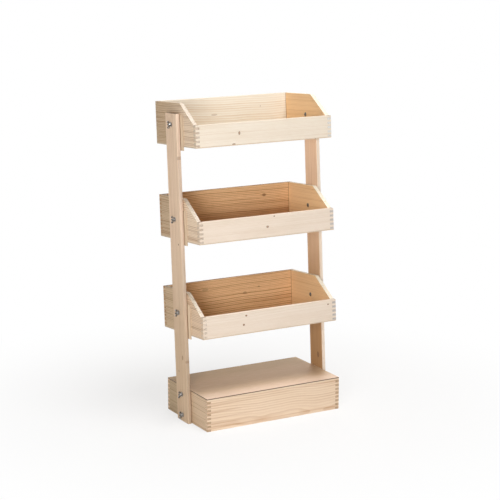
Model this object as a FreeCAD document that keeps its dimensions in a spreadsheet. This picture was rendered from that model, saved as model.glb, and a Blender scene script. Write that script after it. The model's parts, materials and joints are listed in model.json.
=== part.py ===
import FreeCAD, Part

# Timber tray stand. A finger-jointed plinth carries two posts that lean back, and three
# open trays with sloping sides hang between the posts. Each tray turns on one coach bolt
# a side, and a wing nut outside the post clamps it; two more bolts a side hold the plinth.
#
# X runs across the stand, Y to the rear and Z up. Lengths are millimetres, angles degrees.
# "Back" and "up" of a tray or post are measured from the front bottom corner of a post,
# along and square to its lean.

import os

import Sketcher

Vector = FreeCAD.Vector

DIMENSIONS = {
    "BoxWidth": 600,           # across the plinth and every tray
    "BoardThick": 16,          # all solid boards of the boxes
    "PlyThick": 4,             # tray bottoms and plinth lid
    "Finger": 8.2,             # the height that a finger of the corner joints aims at
    "Arris": 1,                # eased edge of the boards and posts
    "BaseDepth": 334,
    "BaseHeight": 128,         # plinth boards, without the lid
    "TrayDepth": 330,
    "TrayFront": 83,           # front board, without the bottom
    "TrayBack": 162,           # back board, without the bottom
    "TrayTop": 206,            # level part of a tray side, from the rear
    "FirstBolt": 437.5,        # lowest tray bolt, up the post
    "TrayPitch": 366.5,
    "BoltRise": 84,            # tray bolt above the underside of its tray
    "Lean": 4,                 # posts and trays, back from upright
    "PostWidth": 90,
    "PostThick": 15,
    "PostTop": 42.5,           # post above the highest tray bolt
    "SpacerThick": 4,          # ply between the boxes and the posts
    "SpacerPlay": 0.1,         # room for a tray's spacer to turn against its post
    "SpacerLap": 20,           # tray spacer in front of the post
    "SpacerDrop": 14,          # tray spacer below the tray
    "SpacerHeight": 135,
    "SpacerSetback": 8,        # plinth spacer behind the front of the post
    "BaseBoltLow": 29,         # plinth bolts, up the post
    "BaseBoltHigh": 111,
    "BoltRadius": 3,
    "BoltLength": 50,
    "BoltFit": 0.08,           # clearance round a bolt in timber, on the radius
    "HeadRadius": 8.2,
    "HeadFlat": 4.4,           # radius of the level top of a bolt head
    "HeadHeight": 3.4,
    "NeckWidth": 6.4,          # square neck under the head
    "NeckDepth": 4,
    "WasherThick": 1.6,        # room that a washer takes under each wing nut
    "HubRadius": 5.6,
    "HubHeight": 8,
    "NutFit": 0.05,            # clearance of the nut on its bolt, on the radius
    "WingReach": 15,           # half the span of the wings
    "WingHeight": 15,
    "WingThick": 2.4,
    "WingFoot": 1,             # underside of a wing above the nut's seat
    "LobeRadius": 4.3,
    "WingSplay": 45,           # lean of a wing out from the axis of its nut
    "WingTurn": 11,            # how far each nut up the stand has stopped from the next
}

SIDES = {"left": -1, "right": 1}
TRAYS = ("lower_tray", "middle_tray", "top_tray")
PLINTH_BOLTS = {"lower": "Sizes.BaseBoltLow", "upper": "Sizes.BaseBoltHigh"}

# Places that several pieces share, as expressions on the sheet.
POST_FOOT = "(Sizes.BaseDepth / 2 - Sizes.PostWidth / 2 / cos(Sizes.Lean))"
POST_MIDDLE = "(Sizes.PostWidth / 2)"
POST_INSIDE = "(Sizes.BoxWidth / 2 + Sizes.SpacerThick)"
POST_OUTSIDE = f"({POST_INSIDE} + Sizes.PostThick)"
NUT_SEAT = f"({POST_OUTSIDE} + Sizes.WasherThick)"
HEAD_SEAT = "(Sizes.BoxWidth / 2 - Sizes.BoardThick)"
SPACER_WIDTH = "(Sizes.SpacerLap + Sizes.PostWidth)"
BOLT_HOLE = "(Sizes.BoltRadius + Sizes.BoltFit)"
TRAY_FRONT = f"({POST_MIDDLE} - Sizes.TrayDepth / 2)"
LAST_BOLT = f"(Sizes.FirstBolt + {len(TRAYS) - 1} * Sizes.TrayPitch)"
POST_LENGTH = f"({LAST_BOLT} + Sizes.PostTop)"
TOP_RIM = f"({LAST_BOLT} - Sizes.BoltRise + Sizes.PlyThick + Sizes.TrayBack)"
REAR_REACH = (f"({POST_FOOT} + ({TRAY_FRONT} + Sizes.TrayDepth) * cos(Sizes.Lean)"
              f" + {TOP_RIM} * sin(Sizes.Lean))")
ORIGIN_BACK = f"({REAR_REACH} / 2)"

LOBE_TURNS = (100, 50, 0, -50, -100)   # corners of a wing's lobe, from its splay
TOUCH = 1e-6


def write_sizes(document):
    """Put every driving dimension on the sheet, with its name as alias."""
    sheet = document.addObject("Spreadsheet::Sheet", "Sizes")
    for row, (name, value) in enumerate(DIMENSIONS.items(), start=1):
        sheet.set(f"A{row}", name)
        sheet.set(f"B{row}", str(value))
        sheet.setAlias(f"B{row}", name)
    document.recompute()


def joint_pairs(height):
    """Fingers that each board has over a corner of this height."""
    return f"round({height} / (2 * Sizes.Finger))"


def finger_of(height):
    """Height of one finger, so that the fingers fill the corner."""
    return f"({height} / (2 * {joint_pairs(height)}))"


def tray_bolt(level):
    """Height of a tray's bolt up the post."""
    return f"(Sizes.FirstBolt + {level} * Sizes.TrayPitch)"


def foot_line(back):
    """Height up the post at which a point this far back meets the floor."""
    return f"{back} * tan(Sizes.Lean)"


def lid_line(back):
    """Height up the post at which a point this far back is level with the lid."""
    top = "Sizes.BaseHeight + Sizes.PlyThick"
    return f"({top} + {back} * sin(Sizes.Lean)) / cos(Sizes.Lean)"


def plinth_back(up):
    """How far behind the plinth's front face a bolt this far up the post lies."""
    return f"({POST_FOOT} + {POST_MIDDLE} * cos(Sizes.Lean) + {up} * sin(Sizes.Lean))"


def plinth_height(up):
    """How far above the floor a bolt this far up the post lies."""
    return f"({up} * cos(Sizes.Lean) - {POST_MIDDLE} * sin(Sizes.Lean))"


def signed(side, expression):
    """The expression on the right-hand side of the stand, its mirror image on the left."""
    return expression if side > 0 else f"-({expression})"


# Placement ---------------------------------------------------------------------------

def place_upright(piece, across, back, height):
    """Place a piece of the plinth: back is from the plinth's front face."""
    piece.setExpression("Placement.Base.x", across)
    piece.setExpression("Placement.Base.y", f"{back} - {ORIGIN_BACK}")
    piece.setExpression("Placement.Base.z", height)


def place_leaning(piece, across, back, up, turn="0"):
    """Place a piece that leans with the posts, turned about the bolt line by turn."""
    piece.Placement = FreeCAD.Placement(Vector(), FreeCAD.Rotation(Vector(1, 0, 0), 1))
    piece.setExpression("Placement.Rotation.Angle", f"{turn} - Sizes.Lean")
    piece.setExpression("Placement.Base.x", across)
    piece.setExpression(
        "Placement.Base.y",
        f"{POST_FOOT} + ({back}) * cos(Sizes.Lean) + ({up}) * sin(Sizes.Lean)"
        f" - {ORIGIN_BACK}")
    piece.setExpression(
        "Placement.Base.z",
        f"({up}) * cos(Sizes.Lean) - ({back}) * sin(Sizes.Lean)")


# Sketches and features ---------------------------------------------------------------

def new_body(document, label):
    """An empty body; its label is the name of the piece."""
    body = document.addObject("PartDesign::Body", label)
    body.Label = label
    return body


def origin_plane(body, role):
    """One of the body's own origin planes."""
    return next(item for item in body.Origin.OriginFeatures if item.Role == role)


def new_sketch(body, name, role):
    """A sketch on one of the body's own origin planes."""
    sketch = body.newObject("Sketcher::SketchObject", f"{body.Name}_{name}")
    sketch.AttachmentSupport = [(origin_plane(body, role), "")]
    sketch.MapMode = "FlatFace"
    return sketch


def pin_point(sketch, geometry, point, across, up):
    """Hold a point of a sketch at two expressions from the sketch's origin."""
    for kind, expression in (("DistanceX", across), ("DistanceY", up)):
        rule = Sketcher.Constraint(kind, -1, 1, geometry, point, 1.0)
        number = sketch.addConstraint(rule)
        sketch.setExpression(f"Constraints[{number}]", expression)


def draw_outline(sketch, corners):
    """A closed outline of straight lines, with every corner held by expressions."""
    count = len(corners)
    first = sketch.GeometryCount
    start = Vector(1, 0, 0)
    turn = FreeCAD.Rotation(Vector(0, 0, 1), 360 / count)
    ring = [start]
    for _ in range(count - 1):
        ring.append(turn.multVec(ring[-1]))
    for number in range(count):
        sketch.addGeometry(Part.LineSegment(ring[number], ring[(number + 1) % count]), False)
    for number in range(count):
        following = first + (number + 1) % count
        rule = Sketcher.Constraint("Coincident", first + number, 2, following, 1)
        sketch.addConstraint(rule)
    for number, (across, up) in enumerate(corners):
        pin_point(sketch, first + number, 1, across, up)


def draw_rectangle(sketch, left, bottom, right, top):
    """A rectangle between two corners."""
    draw_outline(sketch, [(left, bottom), (right, bottom), (right, top), (left, top)])


def draw_circle(sketch, across, up, radius):
    """A circle with its centre and radius held by expressions."""
    circle = sketch.addGeometry(Part.Circle(Vector(1, 1, 0), Vector(0, 0, 1), 1), False)
    pin_point(sketch, circle, 3, across, up)
    number = sketch.addConstraint(Sketcher.Constraint("Radius", circle, 1.0))
    sketch.setExpression(f"Constraints[{number}]", radius)


def pad(body, sketch, thickness, reverse=False, middle=False):
    """Thicken a sketch into a solid."""
    feature = body.newObject("PartDesign::Pad", f"{sketch.Name}_Pad")
    feature.Profile = sketch
    feature.setExpression("Length", thickness)
    feature.Reversed = reverse
    feature.Midplane = middle
    return feature


def cut_through(body, sketch):
    """Cut a sketch through the whole piece."""
    feature = body.newObject("PartDesign::Pocket", f"{sketch.Name}_Cut")
    feature.Profile = sketch
    feature.Type = "ThroughAll"
    feature.Midplane = True
    return feature


def repeat_up(body, feature, sketch, height):
    """Repeat a notch up a corner joint of this height."""
    pattern = body.newObject("PartDesign::LinearPattern", f"{feature.Name}_Up")
    pattern.Originals = [feature]
    pattern.Direction = (sketch, ["V_Axis"])
    pattern.setExpression("Length", f"{height} - 2 * {finger_of(height)}")
    pattern.setExpression("Occurrences", joint_pairs(height))
    body.Tip = pattern
    return pattern


def revolve(body, sketch):
    """Turn a sketch round its own horizontal axis."""
    feature = body.newObject("PartDesign::Revolution", f"{sketch.Name}_Turned")
    feature.Profile = sketch
    feature.ReferenceAxis = (sketch, ["H_Axis"])
    feature.Angle = 360
    return feature


def ease_edges(body, feature, wanted):
    """Bevel the edges of a feature that pass the test."""
    body.Document.recompute()
    names = [f"Edge{number}" for number, edge in enumerate(feature.Shape.Edges, start=1)
             if wanted(edge)]
    bevel = body.newObject("PartDesign::Chamfer", f"{feature.Name}_Eased")
    bevel.Base = (feature, names)
    bevel.setExpression("Size", "Sizes.Arris")
    return bevel


# Boards ------------------------------------------------------------------------------

def top_height(shape):
    """The highest level of a shape in its own frame."""
    return max(vertex.Z for vertex in shape.Vertexes)


def make_end_board(document, label, height, reverse, eased):
    """A front or back board, notched at both ends for the fingers of the sides."""
    body = new_body(document, label)
    outline = new_sketch(body, "Outline", "XZ_Plane")
    draw_rectangle(outline, "0", "0", "Sizes.BoxWidth", height)
    board = pad(body, outline, "Sizes.BoardThick", reverse)
    if eased:
        document.recompute()
        top = top_height(board.Shape) - TOUCH
        ease_edges(body, board, lambda edge: all(vertex.Z > top for vertex in edge.Vertexes)
                   and abs(edge.Vertexes[0].X - edge.Vertexes[1].X) > TOUCH)
    notches = new_sketch(body, "Notches", "XZ_Plane")
    finger = finger_of(height)
    draw_rectangle(notches, "0", "0", "Sizes.BoardThick", finger)
    draw_rectangle(notches, "Sizes.BoxWidth - Sizes.BoardThick", "0", "Sizes.BoxWidth", finger)
    repeat_up(body, cut_through(body, notches), notches, height)
    return body


def make_side_board(document, label, side, corners, depth, heights, bolts, eased):
    """A side board: fingers at both ends, and a square-necked hole for each bolt."""
    body = new_body(document, label)
    outline = new_sketch(body, "Outline", "YZ_Plane")
    draw_outline(outline, corners)
    board = pad(body, outline, "Sizes.BoardThick", reverse=side > 0)
    if eased:
        document.recompute()
        rim = body.evalExpression(min(heights)) - TOUCH
        ease_edges(body, board, lambda edge: all(vertex.Z > rim for vertex in edge.Vertexes)
                   and abs(edge.Vertexes[0].X - edge.Vertexes[1].X) < TOUCH)
    spans = (("0", "Sizes.BoardThick"), (f"{depth} - Sizes.BoardThick", depth))
    for end, (near, far), height in zip(("Front", "Rear"), spans, heights):
        notch = new_sketch(body, f"{end}Notch", "YZ_Plane")
        finger = finger_of(height)
        draw_rectangle(notch, near, finger, far, f"2 * {finger}")
        repeat_up(body, cut_through(body, notch), notch, height)
    drill(body, bolts)
    seat_necks(body, side, bolts)
    return body


def drill(body, bolts):
    """Drill the bolt holes across a body."""
    holes = new_sketch(body, "BoltHoles", "YZ_Plane")
    for across, up in bolts:
        draw_circle(holes, across, up, BOLT_HOLE)
    cut_through(body, holes)


def seat_necks(body, side, bolts):
    """Sink the square necks of the bolts into the inner face of a side board."""
    necks = new_sketch(body, "NeckSeats", "YZ_Plane")
    necks.setExpression("AttachmentOffset.Base.z", signed(-side, "Sizes.BoardThick"))
    half = "Sizes.NeckWidth / 2"
    for across, up in bolts:
        draw_rectangle(necks, f"{across} - {half}", f"{up} - {half}",
                       f"{across} + {half}", f"{up} + {half}")
    seats = body.newObject("PartDesign::Pocket", f"{necks.Name}_Cut")
    seats.Profile = necks
    seats.setExpression("Length", "Sizes.NeckDepth")
    seats.Reversed = side > 0


def make_panel(document, label, depth):
    """A plain ply panel as wide as the box that it closes."""
    body = new_body(document, label)
    outline = new_sketch(body, "Outline", "XY_Plane")
    draw_rectangle(outline, "0", "0", "Sizes.BoxWidth", depth)
    pad(body, outline, "Sizes.PlyThick")
    return body


def make_spacer(document, label, side, corners, bolts, thickness):
    """A ply plate between a box and its post, drilled for the bolts."""
    body = new_body(document, label)
    outline = new_sketch(body, "Outline", "YZ_Plane")
    draw_outline(outline, corners)
    pad(body, outline, thickness, reverse=side < 0)
    drill(body, bolts)
    return body


def make_post(document, side_name):
    """A leaning post with its foot cut level, drilled for every bolt."""
    side = SIDES[side_name]
    body = new_body(document, f"{side_name}_post")
    outline = new_sketch(body, "Outline", "YZ_Plane")
    draw_outline(outline, [("0", "0"), ("Sizes.PostWidth", foot_line("Sizes.PostWidth")),
                           ("Sizes.PostWidth", POST_LENGTH), ("0", POST_LENGTH)])
    post = pad(body, outline, "Sizes.PostThick", reverse=side < 0)
    document.recompute()
    top = top_height(post.Shape)
    ease_edges(body, post, lambda edge: edge.Length > top / 2
               or all(vertex.Z > top - TOUCH for vertex in edge.Vertexes))
    drill(body, [(POST_MIDDLE, up) for up in PLINTH_BOLTS.values()]
          + [(POST_MIDDLE, tray_bolt(level)) for level in range(len(TRAYS))])
    place_leaning(body, signed(side, POST_INSIDE), "0", "0")


# Fasteners ---------------------------------------------------------------------------

def make_bolt(document, label, side, up, turn="0"):
    """A coach bolt: head on the inside, square neck, shank through to the nut."""
    body = new_body(document, label)
    profile = new_sketch(body, "Profile", "XY_Plane")
    tip = signed(side, "Sizes.BoltLength")
    crown = signed(-side, "Sizes.HeadHeight")
    draw_outline(profile, [(crown, "0"), (tip, "0"), (tip, "Sizes.BoltRadius"),
                           ("0", "Sizes.BoltRadius"), ("0", "Sizes.HeadRadius"),
                           (crown, "Sizes.HeadFlat")])
    revolve(body, profile)
    neck = new_sketch(body, "Neck", "YZ_Plane")
    half = "Sizes.NeckWidth / 2"
    draw_rectangle(neck, f"-{half}", f"-{half}", half, half)
    pad(body, neck, "Sizes.NeckDepth", reverse=side < 0)
    place_leaning(body, signed(side, HEAD_SEAT), POST_MIDDLE, up, turn)
    return body


def wing_corners(side):
    """Outline of a wing: its root in the wall of the hub, and the facets of a round lobe."""
    root = "(Sizes.BoltRadius + Sizes.NutFit + Sizes.HubRadius) / 2"
    corners = [(signed(side, "Sizes.HubHeight"), root), (signed(side, "Sizes.WingFoot"), root)]
    for turn in LOBE_TURNS:
        along = f"Sizes.WingHeight - Sizes.LobeRadius * (1 - cos(Sizes.WingSplay + {turn}))"
        out = f"Sizes.WingReach - Sizes.LobeRadius * (1 - sin(Sizes.WingSplay + {turn}))"
        corners.append((signed(side, along), out))
    return corners


def make_wing_nut(document, label, side, up, turn):
    """A wing nut: a hub with two wings, free to turn on its bolt."""
    body = new_body(document, label)
    hub = new_sketch(body, "Hub", "XY_Plane")
    bore = "Sizes.BoltRadius + Sizes.NutFit"
    top = signed(side, "Sizes.HubHeight")
    draw_rectangle(hub, "0", bore, top, "Sizes.HubRadius")
    revolve(body, hub)
    wing = new_sketch(body, "Wing", "XZ_Plane")
    draw_outline(wing, wing_corners(side))
    first = pad(body, wing, "Sizes.WingThick", middle=True)
    second = body.newObject("PartDesign::Mirrored", f"{label}_SecondWing")
    second.Originals = [first]
    second.MirrorPlane = (origin_plane(body, "XY_Plane"), [""])
    body.Tip = second
    place_leaning(body, signed(side, NUT_SEAT), POST_MIDDLE, up, turn)


def make_group(document, label, pieces):
    """Identical fasteners that share one name."""
    group = document.addObject("Part::Compound", label)
    group.Label = label
    group.Links = pieces
    return group


def make_fasteners(document, owner, bolts, upright):
    """Bolts and wing nuts of one box: bolts maps a word to a height up the post."""
    turn = "Sizes.Lean" if upright else "0"
    placed = [(side_name, side, word, up) for word, up in bolts.items()
              for side_name, side in SIDES.items()]
    make_group(document, f"{owner}_bolts", [
        make_bolt(document, f"{owner}_{side_name}_{word}bolt", side, up, turn)
        for side_name, side, word, up in placed])
    for number, (side_name, side, word, up) in enumerate(placed):
        make_wing_nut(document, f"{owner}_{side_name}_{word}wing_nut", side, up,
                      f"{number} * Sizes.WingTurn")


# The stand ---------------------------------------------------------------------------

def make_plinth(document):
    """The plinth: four finger-jointed boards under a ply lid, on spacers at the posts."""
    left = "-Sizes.BoxWidth / 2"
    height = "Sizes.BaseHeight"
    depth = "Sizes.BaseDepth"
    place_upright(make_end_board(document, "base_front", height, True, False), left, "0", "0")
    place_upright(make_end_board(document, "base_back", height, False, False), left, depth, "0")
    place_upright(make_panel(document, "base_lid", depth), left, "0", height)
    corners = [("0", "0"), (depth, "0"), (depth, height), ("0", height)]
    bolts = [(plinth_back(up), plinth_height(up)) for up in PLINTH_BOLTS.values()]
    for side_name, side in SIDES.items():
        board = make_side_board(document, f"base_{side_name}_side", side, corners, depth,
                                (height, height), bolts, False)
        place_upright(board, signed(side, "Sizes.BoxWidth / 2"), "0", "0")
        spacer = make_spacer(document, f"base_{side_name}_spacer", side,
                             plinth_spacer_corners(),
                             [(POST_MIDDLE, up) for up in PLINTH_BOLTS.values()],
                             "Sizes.SpacerThick")
        place_leaning(spacer, signed(side, "Sizes.BoxWidth / 2"), "0", "0")
    make_fasteners(document, "base", {f"{word}_": up for word, up in PLINTH_BOLTS.items()},
                   upright=True)


def plinth_spacer_corners():
    """The plinth spacer: foot on the floor, top level with the lid."""
    near = "Sizes.SpacerSetback"
    far = "Sizes.PostWidth"
    return [(near, foot_line(near)), (far, foot_line(far)),
            (far, lid_line(far)), (near, lid_line(near))]


def make_tray(document, level):
    """A tray: low front, full back and sides that slope between them."""
    name = TRAYS[level]
    floor = f"{tray_bolt(level)} - Sizes.BoltRise"
    boards = f"{floor} + Sizes.PlyThick"
    rear = f"{TRAY_FRONT} + Sizes.TrayDepth"
    left = "-Sizes.BoxWidth / 2"
    front, back = "Sizes.TrayFront", "Sizes.TrayBack"
    place_leaning(make_end_board(document, f"{name}_front", front, True, True),
                  left, TRAY_FRONT, boards)
    place_leaning(make_end_board(document, f"{name}_back", back, False, True),
                  left, rear, boards)
    place_leaning(make_panel(document, f"{name}_bottom", "Sizes.TrayDepth"),
                  left, TRAY_FRONT, floor)
    corners = [("0", "0"), ("Sizes.TrayDepth", "0"), ("Sizes.TrayDepth", back),
               ("Sizes.TrayDepth - Sizes.TrayTop", back), ("Sizes.BoardThick", front),
               ("0", front)]
    spacer_corners = [("0", "0"), (SPACER_WIDTH, "0"), (SPACER_WIDTH, "Sizes.SpacerHeight"),
                      ("0", "Sizes.SpacerHeight")]
    for side_name, side in SIDES.items():
        box_side = signed(side, "Sizes.BoxWidth / 2")
        board = make_side_board(document, f"{name}_{side_name}_side", side, corners,
                                "Sizes.TrayDepth", (front, back),
                                [("Sizes.TrayDepth / 2", "(Sizes.BoltRise - Sizes.PlyThick)")],
                                True)
        place_leaning(board, box_side, TRAY_FRONT, boards)
        spacer = make_spacer(document, f"{name}_{side_name}_spacer", side, spacer_corners,
                             [(f"Sizes.SpacerLap + {POST_MIDDLE}",
                               "Sizes.SpacerDrop + Sizes.BoltRise")],
                             "Sizes.SpacerThick - Sizes.SpacerPlay")
        place_leaning(spacer, box_side, "-Sizes.SpacerLap", f"{floor} - Sizes.SpacerDrop")
    make_fasteners(document, name, {"": tray_bolt(level)}, upright=False)


def nodes_of(document):
    """The pieces that get a file each: bodies and groups that belong to no group."""
    grouped = {piece.Name for group in document.findObjects("Part::Compound")
               for piece in group.Links}
    pieces = document.findObjects("PartDesign::Body") + document.findObjects("Part::Compound")
    return [piece for piece in pieces if piece.Name not in grouped]


def check_model(document):
    """Stop if any object failed, any cut cut nothing or any piece is not a sound solid."""
    for item in document.Objects:
        if {"Invalid", "Error"} & set(item.State):
            raise RuntimeError(f"{item.Label} failed: {item.State}")
    for cut in document.findObjects("PartDesign::Pocket"):
        if cut.Shape.Volume > cut.BaseFeature.Shape.Volume - TOUCH:
            raise RuntimeError(f"{cut.Label} cuts nothing")
    for piece in nodes_of(document):
        if piece.Shape.isNull() or not piece.Shape.isValid() or not piece.Shape.Solids:
            raise RuntimeError(f"{piece.Label} is not a valid solid")


def main():
    """Build the stand, check it and write one file for each piece."""
    document = FreeCAD.newDocument("TrayStand")
    write_sizes(document)
    make_plinth(document)
    for side_name in SIDES:
        make_post(document, side_name)
    for level in range(len(TRAYS)):
        make_tray(document, level)
    document.recompute()
    check_model(document)
    os.makedirs("parts", exist_ok=True)
    for piece in nodes_of(document):
        piece.Shape.exportStep(f"parts/{piece.Label}.step")


main()
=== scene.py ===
"""Looks of a pine tray stand.

A finger-jointed plinth carries two posts that lean back, and three open trays hang between
them on coach bolts and wing nuts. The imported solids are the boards; this script finishes
every surface and adds the steel fittings that the solids only stand for. Places are in
metres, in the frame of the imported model. Sizes of fittings are in millimetres, and so are
places inside a board, which count from its middle.
"""

import enum
import json
import logging
import math
from dataclasses import dataclass, field, replace
from typing import Any, Callable, Iterable, Sequence, Union

import bmesh
import bpy
from mathutils import Matrix, Vector

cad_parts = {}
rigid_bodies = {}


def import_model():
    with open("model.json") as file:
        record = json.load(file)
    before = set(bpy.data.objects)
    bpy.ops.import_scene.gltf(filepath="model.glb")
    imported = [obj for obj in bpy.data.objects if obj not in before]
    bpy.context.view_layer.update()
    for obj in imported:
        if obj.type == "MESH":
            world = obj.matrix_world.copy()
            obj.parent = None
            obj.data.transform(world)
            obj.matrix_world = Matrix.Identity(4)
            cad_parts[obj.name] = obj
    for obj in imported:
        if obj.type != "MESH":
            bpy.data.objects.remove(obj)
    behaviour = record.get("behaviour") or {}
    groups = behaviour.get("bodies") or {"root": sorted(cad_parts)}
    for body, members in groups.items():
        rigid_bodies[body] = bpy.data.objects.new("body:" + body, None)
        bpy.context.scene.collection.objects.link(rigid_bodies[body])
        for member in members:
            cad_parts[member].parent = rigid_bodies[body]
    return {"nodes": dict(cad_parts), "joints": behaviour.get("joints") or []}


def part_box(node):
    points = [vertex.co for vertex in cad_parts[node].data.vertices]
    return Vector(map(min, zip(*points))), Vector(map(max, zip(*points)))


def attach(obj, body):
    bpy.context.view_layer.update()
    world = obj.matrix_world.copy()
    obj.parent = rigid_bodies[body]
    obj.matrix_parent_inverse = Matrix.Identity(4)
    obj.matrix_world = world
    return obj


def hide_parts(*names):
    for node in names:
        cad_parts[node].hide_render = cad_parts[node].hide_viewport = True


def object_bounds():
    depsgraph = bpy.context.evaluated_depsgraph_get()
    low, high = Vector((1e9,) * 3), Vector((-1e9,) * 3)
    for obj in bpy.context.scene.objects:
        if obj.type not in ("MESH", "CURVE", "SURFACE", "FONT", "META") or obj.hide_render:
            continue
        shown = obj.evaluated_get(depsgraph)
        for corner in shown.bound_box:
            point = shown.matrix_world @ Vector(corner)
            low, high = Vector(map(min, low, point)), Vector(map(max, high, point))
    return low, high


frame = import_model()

CAD_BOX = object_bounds()
LOG = logging.getLogger("tray_stand")

MM = 0.001
LEAN = math.radians(4.0)
BOARD_THICK = 16.0
PLY_THICK = 4.0
SPACER_THICK = 4.0
POST_THICK = 15.0
WASHER_ROOM = 1.6
FINGER_AIM = 8.2           # width of a finger before it is fitted to its joint
TRAYS = ("lower_tray", "middle_tray", "top_tray")
SIDES = {"left": -1, "right": 1}

RIGHT = Vector((1.0, 0.0, 0.0))
REAR = Vector((0.0, 1.0, 0.0))
UP = Vector((0.0, 0.0, 1.0))
LEAN_REAR = Vector((0.0, math.cos(LEAN), -math.sin(LEAN)))
LEAN_UP = Vector((0.0, math.sin(LEAN), math.cos(LEAN)))

Colour = tuple[float, float, float]
Feed = Union["Value", bpy.types.NodeSocket, float, Sequence[float]]
Key = Union[int, str]
WHITE: Colour = (1.0, 1.0, 1.0)


class Slot(enum.Enum):
    """A material slot of the record; the added pieces get their materials directly, not through it.
    """

    STEEL = "zinc_steel"


class Blend(enum.Enum):
    """Ways to lay a second colour on a first one."""

    COVER = "MIX"
    TINT = "MULTIPLY"


class Face(enum.Enum):
    """The faces of a lying panel, as signs of its depth."""

    UPPER = 1
    UNDER = -1


# Shader graphs -----------------------------------------------------------------------

class Value:
    """An output socket that takes part in Python expressions."""

    def __init__(self, graph: "Graph", socket: bpy.types.NodeSocket) -> None:
        """Wrap a socket.

        Args:
            graph: Graph that the socket belongs to.
            socket: Output of one of its nodes.
        """
        self.graph = graph
        self.socket = socket

    def __add__(self, other: Feed) -> "Value":
        """Sum."""
        return self.graph.math("ADD", self, other)

    __radd__ = __add__

    def __sub__(self, other: Feed) -> "Value":
        """Difference."""
        return self.graph.math("SUBTRACT", self, other)

    def __rsub__(self, other: Feed) -> "Value":
        """Difference from a number."""
        return self.graph.math("SUBTRACT", other, self)

    def __mul__(self, other: Feed) -> "Value":
        """Product."""
        return self.graph.math("MULTIPLY", self, other)

    __rmul__ = __mul__

    def __truediv__(self, other: Feed) -> "Value":
        """Quotient."""
        return self.graph.math("DIVIDE", self, other)

    def __neg__(self) -> "Value":
        """Opposite."""
        return self.graph.math("MULTIPLY", self, -1.0)

    def __abs__(self) -> "Value":
        """Size without sign."""
        return self.graph.math("ABSOLUTE", self)

    def root(self) -> "Value":
        """Square root."""
        return self.graph.math("SQRT", self)

    def exponential(self) -> "Value":
        """The number e to this power."""
        return self.graph.math("EXPONENT", self)

    def fraction(self) -> "Value":
        """Part after the point."""
        return self.graph.math("FRACT", self)

    def whole(self) -> "Value":
        """Whole number below."""
        return self.graph.math("FLOOR", self)

    def most(self, other: Feed) -> "Value":
        """Larger of the two."""
        return self.graph.math("MAXIMUM", self, other)

    def least(self, other: Feed) -> "Value":
        """Smaller of the two."""
        return self.graph.math("MINIMUM", self, other)

    def step(self, start: float, end: float) -> "Value":
        """Smooth rise from 0 at start to 1 at end; a fall where end is below start.

        Args:
            start: Value where the ramp leaves 0.
            end: Value where the ramp reaches 1.

        Returns:
            The ramp, between 0 and 1.
        """
        low, high = min(start, end), max(start, end)
        to_low, to_high = (0.0, 1.0) if end > start else (1.0, 0.0)
        ramp = self.graph.node(
            "ShaderNodeMapRange", {"interpolation_type": "SMOOTHSTEP"},
            {"Value": self, "From Min": low, "From Max": high,
             "To Min": to_low, "To Max": to_high})
        return Value(self.graph, ramp.outputs["Result"])


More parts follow.
